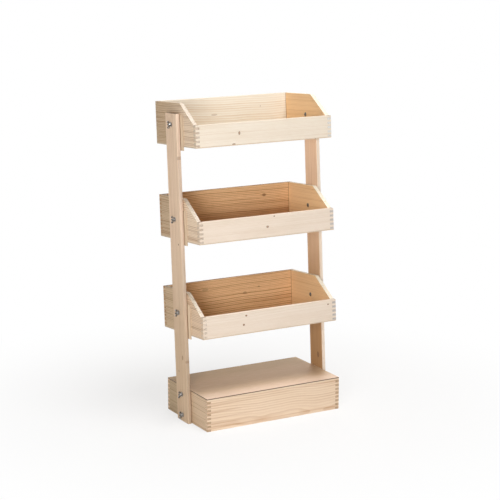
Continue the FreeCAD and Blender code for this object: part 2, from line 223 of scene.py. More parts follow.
class Graph:
    """The node tree of one material or world, with short ways to add to it."""

    def __init__(self, owner: Union[bpy.types.Material, bpy.types.World]) -> None:
        """Clear the owner's tree.

        Args:
            owner: Material or world that the graph belongs to.
        """
        owner.use_nodes = True
        self.owner = owner
        self.tree = owner.node_tree
        self.tree.nodes.clear()

    def node(self, kind: str, settings: dict[str, Any] | None = None,
             feeds: dict[Key, Feed] | None = None) -> bpy.types.Node:
        """Add a node.

        Args:
            kind: Its type.
            settings: Its own properties, set before its sockets.
            feeds: Values or links of its inputs, by place, identifier or name.

        Returns:
            The new node.
        """
        made = self.tree.nodes.new(kind)
        for name, setting in (settings or {}).items():
            setattr(made, name, setting)
        for key, feed in (feeds or {}).items():
            self._connect(self._input(made, key), feed)
        return made

    @staticmethod
    def _input(made: bpy.types.Node, key: Key) -> bpy.types.NodeSocket:
        """Find an input of a node.

        Args:
            made: The node.
            key: Place, identifier or name of the input.

        Returns:
            The input.
        """
        if isinstance(key, int):
            return made.inputs[key]
        known = [socket for socket in made.inputs if socket.identifier == key]
        return known[0] if known else made.inputs[key]

    def _connect(self, socket: bpy.types.NodeSocket, feed: Feed) -> None:
        """Link a feed to an input, or set the input to it.

        Args:
            socket: The input.
            feed: What it gets; a colour may lack its alpha.
        """
        if isinstance(feed, Value):
            self.tree.links.new(feed.socket, socket)
        elif isinstance(feed, bpy.types.NodeSocket):
            self.tree.links.new(feed, socket)
        elif socket.type == "RGBA":
            socket.default_value = (*feed[:3], 1.0)
        else:
            socket.default_value = feed

    def math(self, operation: str, *terms: Feed) -> Value:
        """A Math node on one to three terms."""
        made = self.node("ShaderNodeMath", {"operation": operation}, dict(enumerate(terms)))
        return Value(self, made.outputs[0])

    def vector(self, operation: str, feeds: dict[Key, Feed]) -> bpy.types.Node:
        """A Vector Math node."""
        return self.node("ShaderNodeVectorMath", {"operation": operation}, feeds)

    def along(self, place: Feed, direction: Vector) -> Value:
        """How far a place lies along a direction."""
        product = self.vector("DOT_PRODUCT", {0: place, 1: tuple(direction)})
        return Value(self, product.outputs["Value"])

    def combine(self, *parts: Feed) -> bpy.types.NodeSocket:
        """A vector of three numbers."""
        return self.node("ShaderNodeCombineXYZ", None, dict(enumerate(parts))).outputs[0]

    def noise(self, place: Feed, scale: float = 1.0, detail: float = 2.0,
              roughness: float = 0.5) -> Value:
        """Soft noise.

        Args:
            place: Where it is read.
            scale: Its fineness.
            detail: Finer layers on top of the first.
            roughness: Strength of each layer against the one before.

        Returns:
            The noise, about 0 to 1.
        """
        made = self.node("ShaderNodeTexNoise", {"noise_dimensions": "3D"},
                         {"Vector": place, "Scale": scale, "Detail": detail,
                          "Roughness": roughness})
        return Value(self, made.outputs[0])

    def hash(self, number: Feed) -> Value:
        """One random number for each whole number."""
        made = self.node("ShaderNodeTexWhiteNoise", {"noise_dimensions": "1D"}, {"W": number})
        return Value(self, made.outputs["Value"])

    def mix(self, share: Feed, first: Feed, second: Feed, blend: Blend = Blend.COVER) -> Value:
        """Lay a second colour on a first one.

        Args:
            share: How much of it is laid, 0 to 1.
            first: The colour below.
            second: The colour on top.
            blend: How it is laid.

        Returns:
            The new colour.
        """
        made = self.node("ShaderNodeMix", {"data_type": "RGBA", "blend_type": blend.value},
                         {"Factor_Float": share, "A_Color": first, "B_Color": second})
        return Value(self, next(socket for socket in made.outputs
                                if socket.identifier == "Result_Color"))

    def tint(self, share: Feed, colour: Feed, by: Feed) -> Value:
        """A colour multiplied by another one, as far as a share says."""
        return self.mix(share, colour, by, Blend.TINT)

    def finish(self, shader: bpy.types.NodeSocket,
               kind: str = "ShaderNodeOutputMaterial") -> None:
        """Send a shader to the output."""
        self.node(kind, None, {"Surface": shader})

    def surface(self, feeds: dict[Key, Feed], height: Feed, strength: float,
                distance: float) -> None:
        """Finish with a surface that has a fine relief.

        Args:
            feeds: Inputs of the surface besides its normal.
            height: The relief.
            strength: How much of it shows.
            distance: What a height of 1 stands for, in metres.
        """
        bump = self.node("ShaderNodeBump", None,
                         {"Strength": strength, "Distance": distance, "Height": height})
        shader = self.node("ShaderNodeBsdfPrincipled", None,
                           {**feeds, "Normal": bump.outputs[0]})
        self.finish(shader.outputs[0])


# Wood --------------------------------------------------------------------------------

@dataclass(frozen=True)
class Lie:
    """How a piece lies: its middle, and the ways of its grain, width and thickness."""

    middle: Vector
    grain: Vector
    width: Vector
    depth: Vector


@dataclass(frozen=True)
class WoodPlace:
    """Coordinates inside a piece of wood, in millimetres from its middle."""

    graph: Graph
    along: Value
    across: Value
    deep: Value
    end_facing: Value
    edge_facing: Value
    inner_facing: Value

    @classmethod
    def of(cls, graph: Graph, lie: Lie) -> "WoodPlace":
        """Read the place and the facing of a surface point.

        Args:
            graph: Graph that gets the nodes.
            lie: How the piece lies.

        Returns:
            The coordinates along, across and through the piece, and how far the surface
            faces along the grain, away from the thickness and back through it.
        """
        texture = graph.node("ShaderNodeTexCoord")
        centred = graph.vector("SUBTRACT", {0: texture.outputs["Object"], 1: tuple(lie.middle)})
        along, across, deep = (graph.along(centred.outputs[0], way / MM)
                               for way in (lie.grain, lie.width, lie.depth))
        facing = texture.outputs["Normal"]
        end_facing = abs(graph.along(facing, lie.grain)).step(0.55, 0.85)
        through = graph.along(facing, lie.depth)
        return cls(graph, along, across, deep, end_facing, abs(through).step(0.8, 0.5),
                   through.step(-0.5, -0.8))

    def stretched(self, along: float, across: float, seed: float) -> bpy.types.NodeSocket:
        """A place for noise that runs along the grain.

        Args:
            along: Length of its spots along the grain.
            across: Their width.
            seed: Moves them.

        Returns:
            The place.
        """
        return self.graph.combine(self.along / along + seed, self.across / across + seed,
                                  self.deep / across - seed)


@dataclass(frozen=True)
class Knot:
    """A knot on the face of a board, in millimetres from the middle of the board."""

    along: float
    across: float
    radius: float
    slant: float = 1.3     # length along the grain to width
    depth: float = 1.0     # share of its full darkness


LINE_RAMP = (0.42, 0.12)   # distances at which a joint line starts and is full
PAINTED_CORNER_SHADE_RAMP = (1.8, 0.9)     # the same for the painted shade line in a corner, from the shoulder
PAINTED_CORNER_SHADE = 0.85                # strength of that painted shade line


@dataclass(frozen=True)
class Comb:
    """The finger joint at one end of a board."""

    end: int               # -1 at the near end of the grain, 1 at the far end
    length: float          # of the board
    bottom: float          # underside of the board below its middle
    height: float          # of the joint
    notch_first: bool      # the lowest finger belongs to the other board
    corner: bool = True    # a painted shade line runs up the corner inside the box

    def lines(self, place: WoodPlace) -> Value:
        """Fine dark joint lines between the fingers, and a painted shade line up the inside corner.

        Args:
            place: Coordinates inside the board.

        Returns:
            1 on a line and 0 elsewhere.
        """
        pairs = round(self.height / (2 * FINGER_AIM))
        finger = self.height / (2 * pairs)
        shoulder = self.length / 2 - BOARD_THICK
        outward = place.along * float(self.end)
        count = (place.across + self.bottom) / finger
        to_line = abs((count + 0.5).fraction() - 0.5) * finger
        between = to_line.step(*LINE_RAMP) * outward.step(shoulder - 0.3, shoulder)
        row = (count / 2.0).fraction()
        notched = row.step(0.51, 0.49) if self.notch_first else row.step(0.49, 0.51)
        stop = abs(outward - (shoulder - 0.1)).step(*LINE_RAMP) * notched
        inside = (self.bottom + place.across).step(self.height + 0.2, self.height)
        lines = between.most(stop) * inside
        # painted shade: a dark line up the inside corner beside the shoulder
        if self.corner:
            start, full = (shoulder - distance for distance in PAINTED_CORNER_SHADE_RAMP)
            lines = lines.most(outward.step(start, full) * place.inner_facing * PAINTED_CORNER_SHADE)
        return lines


FIBRE_GRAIN = (26.0, 0.55)     # length and width of the spots of each noise
CLOUD_GRAIN = (210.0, 34.0)
FLECK_GRAIN = (5.5, 0.35)
STREAK_GRAIN = (520.0, 8.5)
RAGGED_GRAIN = (90.0, 12.0)
CLOUD_TINT = (0.94, 0.91, 0.87)
FIBRE_TINT = (0.84, 0.76, 0.66)
FLECK_TINT = (0.66, 0.52, 0.38)
KNOT_CORE = (0.30, 0.150, 0.070)
KNOT_RIM = (0.155, 0.075, 0.036)
JOINT_LINE = (0.20, 0.12, 0.07)
WOOD_GLOSS = 0.35


@dataclass(frozen=True)
class PineFinish:
    """Planed pine: growth rings cut by the faces, fibres, knots and darker end grain, with painted
    light and shade on inner faces, edges, along the grain and towards the lower inner edge.
    """

    pale: Colour = (0.83, 0.745, 0.635)
    ring: Colour = (0.69, 0.55, 0.41)
    spacing: float = 4.2
    pith_across: float = 78.0
    pith_deep: float = 52.0
    contrast: float = 0.7
    wander: float = 12.0
    streaks: float = 0.35
    fibre: float = 0.3
    end_tint: Colour = (0.76, 0.69, 0.62)
    painted_edge_light_shade: Colour = WHITE
    painted_inner_light_shade: Colour = WHITE
    painted_low_shade: Colour = WHITE       # painted shade towards the lower edge of the inner face
    painted_shade_along: Colour = WHITE      # painted shade along the grain
    painted_shade_start: float = 310.0
    painted_shade_end: float = -410.0
    painted_shade_inner_only: bool = False       # the painted shade only on the inner face

    def dress(self, piece: bpy.types.Object, lie: Lie, seed: float,
              knots: Sequence[Knot] = (), combs: Sequence[Comb] = ()) -> None:
        """Give a board its pine.

        Args:
            piece: The board.
            lie: How it lies.
            seed: Makes its figure unlike that of other boards.
            knots: Its knots.
            combs: Its finger joints.
        """
        graph = Graph(bpy.data.materials.new(f"pine_{piece.name}"))
        place = WoodPlace.of(graph, lie)
        rings, cores, rims = self._rings(graph, place, seed, knots)
        fibres = graph.noise(place.stretched(*FIBRE_GRAIN, seed * 3.1), 1.0, 3.0, 0.6)
        clouds = graph.noise(place.stretched(*CLOUD_GRAIN, seed * 1.7))
        flecks = graph.noise(place.stretched(*FLECK_GRAIN, seed * 5.3), 1.0, 1.0).step(0.70, 0.78)
        streaks = graph.noise(place.stretched(*STREAK_GRAIN, seed * 2.9), 1.0, 2.0, 0.6)
        figure = rings * self.contrast + streaks.step(0.48, 0.72) * self.streaks
        colour = graph.mix(figure.least(1.0), self.pale, self.ring)
        # painted shade: the inner face darker towards its lower edge
        low = place.inner_facing * place.across.step(25.0, -75.0)
        # painted shade: darker along the grain towards one end, on the inner face alone where asked
        fade = place.along.step(self.painted_shade_start, self.painted_shade_end)
        if self.painted_shade_inner_only:
            fade = fade * place.inner_facing
        for share, tint in ((clouds.step(0.35, 0.75) * 0.45, CLOUD_TINT),
                            ((0.62 - fibres).step(0.0, 0.3) * self.fibre, FIBRE_TINT),
                            (flecks * 0.30, FLECK_TINT),
                            (fade, self.painted_shade_along),
                            # painted light and shade: inner faces lighter, darker or warmer than
                            # outer ones
                            (place.inner_facing, self.painted_inner_light_shade),
                            (low, self.painted_low_shade),
                            # painted light and shade: edges and ends lighter or darker than the
                            # faces
                            (place.edge_facing, self.painted_edge_light_shade),
                            (place.end_facing, self.end_tint)):
            colour = graph.tint(share, colour, tint)
        colour = graph.mix(cores, colour, KNOT_CORE)
        colour = graph.mix(rims, colour, KNOT_RIM)
        height = fibres * 0.4 + rings * 0.12 - flecks * 0.5 + cores * 0.3
        lines = self._joint_lines(combs, place)
        if lines is not None:
            colour = graph.mix(lines * 0.75, colour, JOINT_LINE)
            height = height - lines * 1.5
        rough = 0.60 - rings * 0.08 + fibres * 0.10 - cores * 0.12
        graph.surface({"Base Color": colour, "Roughness": rough,
                       "Specular IOR Level": WOOD_GLOSS}, height, 0.35, 0.0004)
        piece.material_slots[0].material = graph.owner

    def _rings(self, graph: Graph, place: WoodPlace, seed: float, knots: Sequence[Knot],
               ) -> tuple[Value, Value, Value]:
        """Growth rings round a wandering pith, pushed aside by the knots.

        Args:
            graph: Graph that gets the nodes.
            place: Coordinates inside the board.
            seed: Makes the figure unlike that of other boards.
            knots: Knots of the board.

        Returns:
            Darkness of the late wood, of the knots' cores and of their rims.
        """
        wander = graph.noise(graph.combine(place.along / 430.0, seed, seed * 2.0), 1.0, 1.0)
        sway = graph.noise(graph.combine(place.along / 290.0, seed + 9.0, -seed))
        ragged = graph.noise(place.stretched(*RAGGED_GRAIN, seed)) - 0.5
        across = place.across
        for knot in knots:
            run = (place.along - knot.along) / (knot.radius * (1.0 + knot.slant))
            rise = (place.across - knot.across) / knot.radius
            near = (-(run * run * 0.6 + rise * rise * 0.30)).exponential()
            across = across - rise * near * (0.85 * knot.radius)
        side = across - self.pith_across + (wander - 0.5) * (2.0 * self.wander)
        deep = place.deep + self.pith_deep + (sway - 0.5) * (1.5 * self.wander)
        radius = (side * side + deep * deep).root() + ragged * 2.2
        cores = rims = place.along * 0.0
        for knot in knots:
            run = (place.along - knot.along) / (knot.radius * knot.slant)
            rise = (place.across - knot.across) / knot.radius
            edge = (run * run + rise * rise).root() + ragged * 0.35
            cores = cores.most(edge.step(1.0, 0.72) * knot.depth)
            rims = rims.most(abs(edge - 0.92).step(0.22, 0.04) * (0.6 * knot.depth))
        count = radius / self.spacing
        late = count.fraction()
        strength = graph.hash(count.whole() + seed) * 0.8 + 0.2
        rings = late.step(0.30, 0.86) * late.step(1.0, 0.92) * strength
        return rings, cores, rims

    @staticmethod
    def _joint_lines(combs: Sequence[Comb], place: WoodPlace) -> Value | None:
        """Gather the joint lines of a board.

        Args:
            combs: Its finger joints.
            place: Coordinates inside it.

        Returns:
            1 on a line and 0 elsewhere, or None for a board without joints.
        """
        lines: Value | None = None
        for comb in combs:
            own = comb.lines(place)
            lines = own if lines is None else lines.most(own)
        return lines


PORE_GRAIN = (9.0, 0.4)
PLY_CLOUD_GRAIN = (170.0, 75.0)
PORE_TINT = (0.72, 0.58, 0.44)
PLY_CLOUD_TINT = (0.93, 0.90, 0.86)
LAYER_TINT = (0.62, 0.55, 0.46)
PAINTED_CONTACT_SHADE = (0.24, 0.115, 0.055)


@dataclass(frozen=True)
class PlyFinish:
    """Thin plywood: a peeled face veneer and a layered edge, with painted contact shadow, sheen or
    shade where asked.
    """

    face: Colour = (0.76, 0.62, 0.47)
    figure: Colour = (0.66, 0.50, 0.35)
    edge: Colour = (0.50, 0.36, 0.22)
    core: Colour = (0.30, 0.185, 0.10)
    contact_shade_width: float = 5.5
    painted_front_sheen: Colour = WHITE     # painted sheen where the width begins
    painted_rear_shade: Colour = WHITE      # painted shade where it ends

    def dress(self, piece: bpy.types.Object, lie: Lie, seed: float,
              seam: float | None = None) -> None:
        """Give a panel its plywood.

        Args:
            piece: The panel.
            lie: How it lies; its depth runs through the plies.
            seed: Makes its figure unlike that of other panels.
            seam: Where along its width a board on it starts, with a painted contact shadow there.
        """
        graph = Graph(bpy.data.materials.new(f"ply_{piece.name}"))
        place = WoodPlace.of(graph, lie)
        drift = graph.noise(place.stretched(150.0, 40.0, seed)) * 5.0
        waves = (drift + place.across / 21.0).fraction()
        figure = waves.step(0.0, 0.5) * waves.step(1.0, 0.55)
        pores = graph.noise(place.stretched(*PORE_GRAIN, seed * 2.3), 1.0, 2.0, 0.6)
        clouds = graph.noise(place.stretched(*PLY_CLOUD_GRAIN, seed * 1.3))
        colour = graph.mix(figure * 0.35, self.face, self.figure)
        for share, tint in ((clouds.step(0.35, 0.7) * 0.5, PLY_CLOUD_TINT),
                            (pores.step(0.60, 0.74) * 0.35, PORE_TINT),
                            # painted sheen towards the front of the panel and painted shade towards
                            # its rear
                            (place.across.step(-70.0, -165.0), self.painted_front_sheen),
                            (place.across.step(20.0, 150.0), self.painted_rear_shade)):
            colour = graph.tint(share, colour, tint)
        inner = (abs(place.deep) / PLY_THICK).step(0.30, 0.24)
        ragged = graph.noise(place.stretched(1.6, 1.6, seed * 4.1))
        layers = graph.mix(inner, self.edge, self.core)
        layers = graph.tint(ragged.step(0.45, 0.75) * 0.5, layers, LAYER_TINT)
        # painted contact shadow: a dark line on the face beside the front of the post
        if seam is not None:
            contact_shade_mask = abs(place.across - seam).step(self.contact_shade_width, self.contact_shade_width * 0.4)
            colour = graph.mix(contact_shade_mask * 0.95, colour, PAINTED_CONTACT_SHADE)
        colour = graph.mix(place.edge_facing, colour, layers)
        graph.surface({"Base Color": colour, "Roughness": 0.56 + pores * 0.12,
                       "Specular IOR Level": WOOD_GLOSS},
                      pores * -0.5 - inner * place.edge_facing, 0.3, 0.0003)
        piece.material_slots[0].material = graph.owner


@dataclass(frozen=True)
class SteelFinish:
    """Zinc-plated steel with a faint bloom in the plating; its dark base colour is painted shade,
    standing in for the dark reflections of a dark room.
    """

    bright: Colour = (0.42, 0.42, 0.42)
    bloom: Colour = (0.13, 0.125, 0.115)
    roughness: float = 0.22

    def material(self, name: str) -> bpy.types.Material:
        """Make the plated finish.

        Args:
            name: Name of the material.

        Returns:
            The material.
        """
        graph = Graph(bpy.data.materials.new(name))
        texture = graph.node("ShaderNodeTexCoord")
        grown = graph.vector("SCALE", {0: texture.outputs["Object"], "Scale": 1 / MM})
        clouds = graph.noise(grown.outputs[0], 0.22, 3.0)
        grit = graph.noise(grown.outputs[0], 4.0)
        colour = graph.mix(clouds.step(0.42, 0.62), self.bright, self.bloom)
        graph.surface({"Base Color": colour, "Metallic": 1.0,
                       "Roughness": self.roughness + clouds * 0.14}, grit, 0.15, 0.0001)
        return graph.owner


# Meshes ------------------------------------------------------------------------------

def middle_of(node: str) -> Vector:
    """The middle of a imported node."""
    low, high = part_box(node)
    return (low + high) / 2


def front_of(node: str, lie: Lie) -> float:
    """Find where the front of a node comes across the width of a piece.

    Args:
        node: The node.
        lie: How the piece lies.

    Returns:
        The place, in millimetres from the middle of the piece.
    """
    return min((vertex.co - lie.middle).dot(lie.width)
               for vertex in frame["nodes"][node].data.vertices) / MM


def link(data: bpy.types.ID, name: str) -> bpy.types.Object:
    """Put a mesh, a lamp or a camera into the scene.

    Args:
        data: What the new object shows.
        name: Name of the object.

    Returns:
        The object.
    """
    piece = bpy.data.objects.new(name, data)
    bpy.context.scene.collection.objects.link(piece)
    return piece


def mesh_of(build: Callable[[bmesh.types.BMesh], None], name: str) -> bpy.types.Mesh:
    """A mesh from a function that fills a bmesh.

    Args:
        build: Adds the vertices and faces.
        name: Name of the mesh.

    Returns:
        The mesh, with doubles merged and faces turned outwards.
    """
    work = bmesh.new()
    build(work)
    bmesh.ops.remove_doubles(work, verts=work.verts, dist=1e-7)
    bmesh.ops.recalc_face_normals(work, faces=work.faces)
    mesh = bpy.data.meshes.new(name)
    work.to_mesh(mesh)
    work.free()
    return mesh


def lathe(work: bmesh.types.BMesh, profile: Sequence[tuple[float, float]], steps: int,
          radius_at: Callable[[float, float, float], float] | None = None,
          closed: bool = False) -> None:
    """Turn a profile round the X axis.

    Args:
        work: Bmesh that gets the faces.
        profile: Places along the axis and radii, in millimetres.
        steps: Faces round the axis.
        radius_at: Changes a radius by place, radius and angle, as a thread does.
        closed: Join the last ring to the first.
    """
    rings = []
    for along, radius in profile:
        ring = []
        for number in range(steps):
            angle = math.tau * number / steps
            reach = radius_at(along, radius, angle) if radius_at else radius
            ring.append(work.verts.new((along * MM, reach * math.cos(angle) * MM,
                                        reach * math.sin(angle) * MM)))
        rings.append(ring)
    pairs = list(zip(rings, rings[1:])) + ([(rings[-1], rings[0])] if closed else [])
    for near, far in pairs:
        for number in range(steps):
            following = (number + 1) % steps
            work.faces.new((near[number], near[following], far[following], far[number]))
    if not closed:
        work.faces.new(rings[0])
        work.faces.new(rings[-1])


def arc(centre: tuple[float, float], radius: float, start: float, end: float,
        steps: int) -> list[tuple[float, float]]:
    """Points on an arc.

    Args:
        centre: Centre of the arc.
        radius: Its radius.
        start: Angle of its first point, in degrees.
        end: Angle of its last point.
        steps: Steps between the two.

    Returns:
        The points, one more than the steps.
    """
    turns = (math.radians(start + (end - start) * step / steps) for step in range(steps + 1))
    return [(centre[0] + radius * math.cos(turn), centre[1] + radius * math.sin(turn))
            for turn in turns]


def settled(piece: bpy.types.Object, name: str) -> bpy.types.Mesh:
    """Apply the modifiers of a piece.

    Args:
        piece: The piece, which keeps its modifiers.
        name: Name of the result.

    Returns:
        The mesh with its modifiers applied.
    """
    graph = bpy.context.evaluated_depsgraph_get()
    mesh = bpy.data.meshes.new_from_object(piece.evaluated_get(graph), depsgraph=graph)
    mesh.name = name
    return mesh


def shade_smooth(mesh: bpy.types.Mesh, angle: float = math.radians(35)) -> None:
    """Smooth shading, with sharp edges where faces meet at more than an angle."""
    mesh.shade_smooth()
    mesh.set_sharp_from_angle(angle=angle)


# Fittings ----------------------------------------------------------------------------

@dataclass(frozen=True)
class Station:
    """One bolt with its nut: the joint of the nut gives its axis and seat."""

    nut: str
    owner: str             # body that holds the bolt
    side: int
    seat: Vector           # on the axis, under the nut

    def matrix(self, shift: float, turn: float = 0.0) -> Matrix:
        """Place of a fitting on the axis.

        Args:
            shift: Distance out from the nut's seat, in millimetres.
            turn: Turn about the axis.

        Returns:
            The matrix that takes +X to the way out of the stand.
        """
        outward = Matrix.Rotation(0.0 if self.side > 0 else math.pi, 4, "Z")
        place = Matrix.Translation(self.seat + RIGHT * (self.side * shift * MM))
        return place @ Matrix.Rotation(turn, 4, "X") @ outward

    def wing_turn(self) -> float:
        """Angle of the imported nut's wings about the axis.

        Returns:
            The angle, from the farthest vertex of the nut.
        """
        vertices = frame["nodes"][self.nut].data.vertices
        reach = max(((vertex.co - self.seat).yz for vertex in vertices),
                    key=lambda offset: offset.length)
        return math.atan2(reach.y, reach.x)


def stations() -> list[Station]:
    """Every bolt of the stand, read from the joints of its nuts."""
    return [Station(nut=joint["child"], owner=joint["parent"],
                    side=1 if joint["axis"][0] > 0 else -1, seat=Vector(joint["pos_m"]))
            for joint in frame["joints"] if joint["child"].endswith("_wing_nut")]


@dataclass
class WingNut:
    """A cast wing nut: tapered hub, two wings with round lobes, soft edges."""

    hub_radius: float = 6.1
    hub_top: float = 4.9
    hub_height: float = 8.0
    bore: float = 3.1
    reach: float = 14.9
    height: float = 14.8
    lobe: float = 4.4
    root_thick: float = 2.9
    lobe_thick: float = 2.1
    hub_steps: int = 40
    lobe_start: float = 146.0      # angles of the lobe's outline, in degrees
    lobe_end: float = -58.0
    lobe_steps: int = 14
    voxel: float = 0.32
    share: float = 0.16            # of its faces that are kept

    def mesh(self) -> bpy.types.Mesh:
        """One nut on the X axis, its wings along Y.

        Returns:
            The mesh, blended where the wings meet the hub.
        """
        rough = link(mesh_of(self._forms, "wing_nut_forms"), "wing_nut_forms")
        remesh = rough.modifiers.new("blend", "REMESH")
        remesh.mode = "VOXEL"
        remesh.voxel_size = self.voxel * MM
        smooth = rough.modifiers.new("soften", "SMOOTH")
        smooth.factor = 0.5
        smooth.iterations = 5
        thin = rough.modifiers.new("thin", "DECIMATE")
        thin.ratio = self.share
        mesh = settled(rough, "wing_nut")
        bpy.data.objects.remove(rough)
        shade_smooth(mesh, math.radians(50))
        return mesh

    def _forms(self, work: bmesh.types.BMesh) -> None:
        """Add hub and wings as closed forms that run into each other.

        Args:
            work: Bmesh that gets them.
        """
        profile = [(0.0, self.bore), (0.0, self.hub_radius - 0.3), (0.35, self.hub_radius),
                   (self.hub_height - 0.5, self.hub_top), (self.hub_height, self.hub_top - 0.5),
                   (self.hub_height, self.bore + 0.3), (self.hub_height - 0.3, self.bore)]
        lathe(work, profile, self.hub_steps, closed=True)
        for way in (-1, 1):
            self._wing(work, way)

    def _wing(self, work: bmesh.types.BMesh, way: int) -> None:
        """Add one wing, thinner towards its lobe.

        Args:
            work: Bmesh that gets it.
            way: Side of the hub, -1 or 1.
        """
        root = (self.bore + self.hub_top) / 2
        lobe = arc((self.height - self.lobe, self.reach - self.lobe), self.lobe,
                   self.lobe_start, self.lobe_end, self.lobe_steps)
        outline = [(self.hub_height - 0.6, root), (0.9, root), *lobe]
        sheets = []
        for face in (-1, 1):
            ring = []
            for along, out in outline:
                share = (out - root) / (self.reach - root)
                thick = self.root_thick + (self.lobe_thick - self.root_thick) * share
                ring.append(work.verts.new((along * MM, way * out * MM, face * thick / 2 * MM)))
            sheets.append(ring)
            work.faces.new(ring)
        for number in range(len(outline)):
            following = (number + 1) % len(outline)
            work.faces.new((sheets[0][number], sheets[0][following],
                            sheets[1][following], sheets[1][number]))


@dataclass
class CoachBolt:
    """A coach bolt: domed head, square neck, plain shank and a threaded end."""

    head_radius: float = 8.2
    head_height: float = 3.8
    neck: float = 6.2
    neck_depth: float = 3.9
    radius: float = 3.0
    length: float = 50.0
    thread_start: float = 30.0
    pitch: float = 1.0
    thread_depth: float = 0.38
    rings_per_turn: int = 5
    steps: int = 24
    dome_steps: int = 8

    def mesh(self) -> bpy.types.Mesh:
        """Make one bolt on the X axis, the underside of its head at the origin.

        Returns:
            The mesh.
        """
        mesh = mesh_of(self._forms, "coach_bolt")
        shade_smooth(mesh, math.radians(30))
        return mesh

    def _forms(self, work: bmesh.types.BMesh) -> None:
        """Add head and threaded shank as one turned form, and the neck.

        Args:
            work: Bmesh that gets them.
        """
        swell = (self.head_radius ** 2 + self.head_height ** 2) / (2 * self.head_height)
        half = math.degrees(math.asin(self.head_radius / swell))
        centre = swell - self.head_height
        turns = [math.radians(half * step / self.dome_steps)
                 for step in (0.25, *range(1, self.dome_steps))]
        dome = [(centre - swell * math.cos(turn), swell * math.sin(turn)) for turn in turns]
        profile = [*dome, (-0.25, self.head_radius), (0.0, self.head_radius - 0.2),
                   (0.0, self.radius)]
        rings = int((self.length - self.thread_start) / self.pitch * self.rings_per_turn)
        profile += [(self.thread_start + (self.length - self.thread_start) * number / rings,
                     self.radius) for number in range(rings + 1)]
        profile.append((self.length, self.radius - 0.8))
        lathe(work, profile, self.steps, self._threaded)
        half_neck = self.neck / 2 * MM
        matrix = Matrix.Translation((self.neck_depth / 2 * MM, 0, 0)) @ Matrix.Diagonal(
            (self.neck_depth * MM, 2 * half_neck, 2 * half_neck, 1.0))
        bmesh.ops.create_cube(work, size=1.0, matrix=matrix)

    def _threaded(self, along: float, radius: float, angle: float) -> float:
        """Cut the thread's groove into a radius.

        Args:
            along: Place along the bolt.
            radius: Radius there.
            angle: Angle about the axis.

        Returns:
            The radius that is left.
        """
        if along < self.thread_start or radius < self.radius:
            return radius
        share = (along / self.pitch - angle / math.tau) % 1.0
        fade = min(1.0, (self.length - along) / (0.8 * self.pitch))
        return radius - self.thread_depth * abs(2 * share - 1) * (0.35 + 0.65 * fade)


class TreeBuilder:
    """A Geometry Nodes tree with named sizes and a finish as inputs."""

    def __init__(self, name: str, sizes: dict[str, float]) -> None:
        """Start a tree.

        Args:
            name: Name of the tree.
            sizes: Default value of each named size, in metres.
        """
        self.tree = bpy.data.node_groups.new(name, "GeometryNodeTree")
        face = self.tree.interface
        face.new_socket("Geometry", in_out="INPUT", socket_type="NodeSocketGeometry")
        self.keys: dict[str, str] = {}
        for label, size in sizes.items():
            socket = face.new_socket(label, in_out="INPUT", socket_type="NodeSocketFloat")
            socket.default_value = size
            self.keys[label] = socket.identifier
        finish = face.new_socket("Finish", in_out="INPUT", socket_type="NodeSocketMaterial")
        self.keys["Finish"] = finish.identifier
        face.new_socket("Geometry", in_out="OUTPUT", socket_type="NodeSocketGeometry")
        self.entry = self.tree.nodes.new("NodeGroupInput")

    def entries(self, *labels: str) -> list[bpy.types.NodeSocket]:
        """The named inputs, as sockets to link from."""
        return [self.entry.outputs[label] for label in labels]

    def node(self, kind: str, settings: dict[str, Any] | None = None,
             feeds: dict[Key, Any] | None = None) -> bpy.types.Node:
        """Add a node.

        Args:
            kind: Its type.
            settings: Its own properties.
            feeds: Values or links of its inputs, by place or name.

        Returns:
            The new node.
        """
        made = self.tree.nodes.new(kind)
        for name, setting in (settings or {}).items():
            setattr(made, name, setting)
        for key, feed in (feeds or {}).items():
            if isinstance(feed, bpy.types.NodeSocket):
                self.tree.links.new(feed, made.inputs[key])
            else:
                made.inputs[key].default_value = feed
        return made

    def end(self, geometry: bpy.types.NodeSocket) -> None:
        """Realize the instances, set their material and send them out.

        Args:
            geometry: The instances.
        """
        real = self.node("GeometryNodeRealizeInstances", None, {"Geometry": geometry})
        finish = self.node("GeometryNodeSetMaterial", None,
                           {"Geometry": real.outputs[0], "Material": self.entry.outputs["Finish"]})
        self.node("NodeGroupOutput", None, {0: finish.outputs[0]})

    def run(self, mesh: bpy.types.Mesh, name: str, values: dict[str, Any]) -> bpy.types.Mesh:
        """Run the tree on a mesh.

        Args:
            mesh: What the tree works on.
            name: Name of the result.
            values: Values of the named inputs.

        Returns:
            A plain mesh.
        """
        host = link(mesh, f"{name}_host")
        modifier = host.modifiers.new("tree", "NODES")
        modifier.node_group = self.tree
        for label, value in values.items():
            modifier[self.keys[label]] = value
        made = settled(host, name)
        host.modifiers.clear()
        bpy.data.objects.remove(host)
        return made


